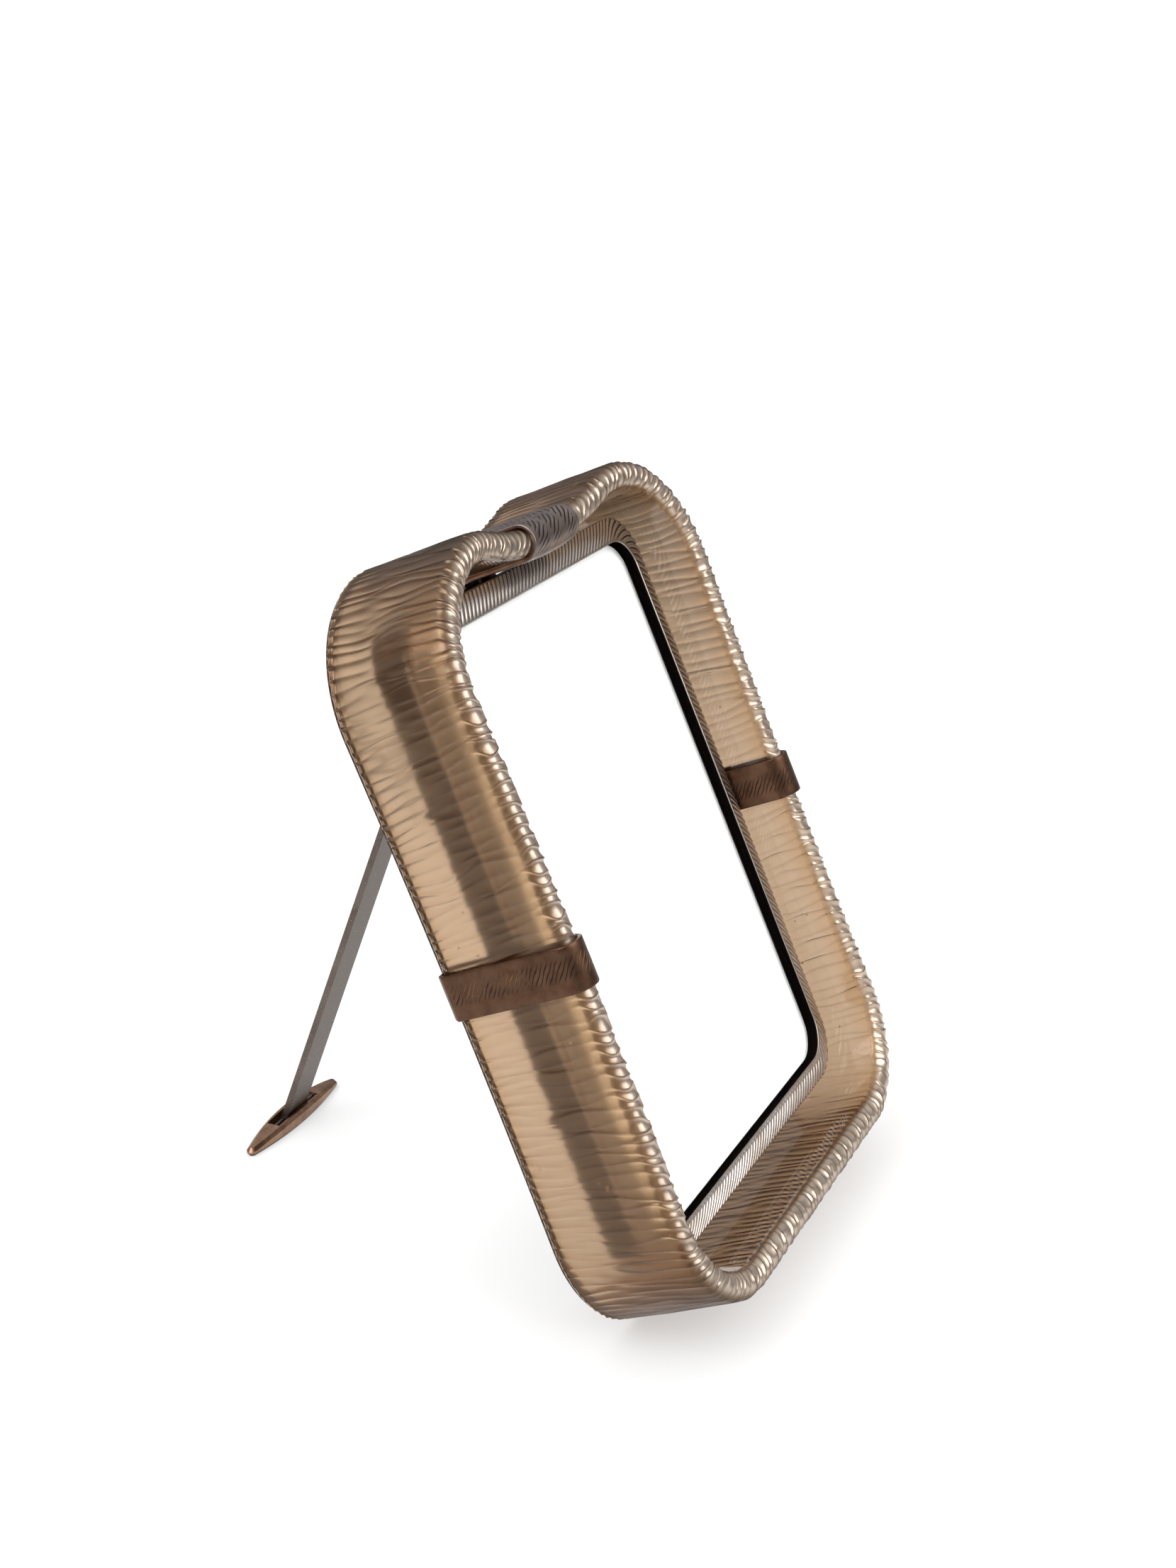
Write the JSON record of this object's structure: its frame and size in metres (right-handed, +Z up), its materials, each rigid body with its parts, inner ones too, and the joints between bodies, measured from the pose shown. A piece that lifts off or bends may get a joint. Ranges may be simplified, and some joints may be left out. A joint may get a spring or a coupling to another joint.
{
  "type": "photo frame",
  "caption": "Leaning photo frame: a deep amber glass ring held by bronze straps round a twisted metal moulding, with a hinged strut and a small rocking foot behind.",
  "frame": {"origin": "centre of the bounding box, on the table it stands on", "axes": "+X to the right seen from the front, -Y towards the viewer, +Z up"},
  "size_m": [0.166, 0.1868, 0.2177],
  "materials": {
    "amber_glass": "satin ground outside, polished inside",
    "clear_glass": "polished",
    "strap_bronze": "dark satin patina",
    "case_bronze": "dark satin patina",
    "moulding_silver": "bright on the ridges, dark in the grooves",
    "dark_steel": "dull",
    "strut_bronze": "smooth patina",
    "foot_copper": "worn copper",
    "sole_felt": "felt",
    "white_paper": "matt",
    "grey_board": "matt",
    "back_cloth": "short pile cloth"
  },
  "bodies": {
    "root": {"glass_ring": "amber_glass", "strap_top": "strap_bronze", "strap_left": "strap_bronze", "strap_right": "strap_bronze", "strap_screws": "dark_steel", "case_frame": "case_bronze", "bezel_moulding": "moulding_silver", "glazing_pane": "clear_glass", "photo_card": "white_paper", "backing_board": "grey_board", "back_panel": "back_cloth", "turn_button_screws": "dark_steel", "hinge_bracket": "case_bronze", "hinge_pin": "dark_steel"},
    "strut": {"strut_bar": "strut_bronze", "foot_pin": "dark_steel"},
    "foot": {"foot": "foot_copper", "foot_sole": "sole_felt"},
    "turn_button_upper_left": {"turn_button_upper_left": "case_bronze"},
    "turn_button_upper_right": {"turn_button_upper_right": "case_bronze"},
    "turn_button_lower_left": {"turn_button_lower_left": "case_bronze"},
    "turn_button_lower_right": {"turn_button_lower_right": "case_bronze"}
  },
  "joints": [
    {"name": "strut_fold", "type": "hinge", "parent": "root", "child": "strut", "pos_m": [0, 0.02073, 0.18611], "axis": [1, 0, 0], "range_deg": [-41, 0]},
    {"name": "foot_rock", "type": "hinge", "parent": "strut", "child": "foot", "pos_m": [0, 0.08919, 0.003], "axis": [1, 0, 0], "range_deg": [-12, 12]},
    {"name": "turn_button_upper_left_turn", "type": "hinge", "parent": "root", "child": "turn_button_upper_left", "pos_m": [-0.06775, -0.00411, 0.14653], "axis": [0, -0.9171, 0.3987], "range_deg": [0, 90]},
    {"name": "turn_button_upper_right_turn", "type": "hinge", "parent": "root", "child": "turn_button_upper_right", "pos_m": [0.06775, -0.00411, 0.14653], "axis": [0, 0.9171, -0.3987], "range_deg": [0, 90]},
    {"name": "turn_button_lower_left_turn", "type": "hinge", "parent": "root", "child": "turn_button_lower_left", "pos_m": [-0.06775, -0.04, 0.06399], "axis": [0, 0.9171, -0.3987], "range_deg": [0, 90]},
    {"name": "turn_button_lower_right_turn", "type": "hinge", "parent": "root", "child": "turn_button_lower_right", "pos_m": [0.06775, -0.04, 0.06399], "axis": [0, -0.9171, 0.3987], "range_deg": [0, 90]}
  ]
}
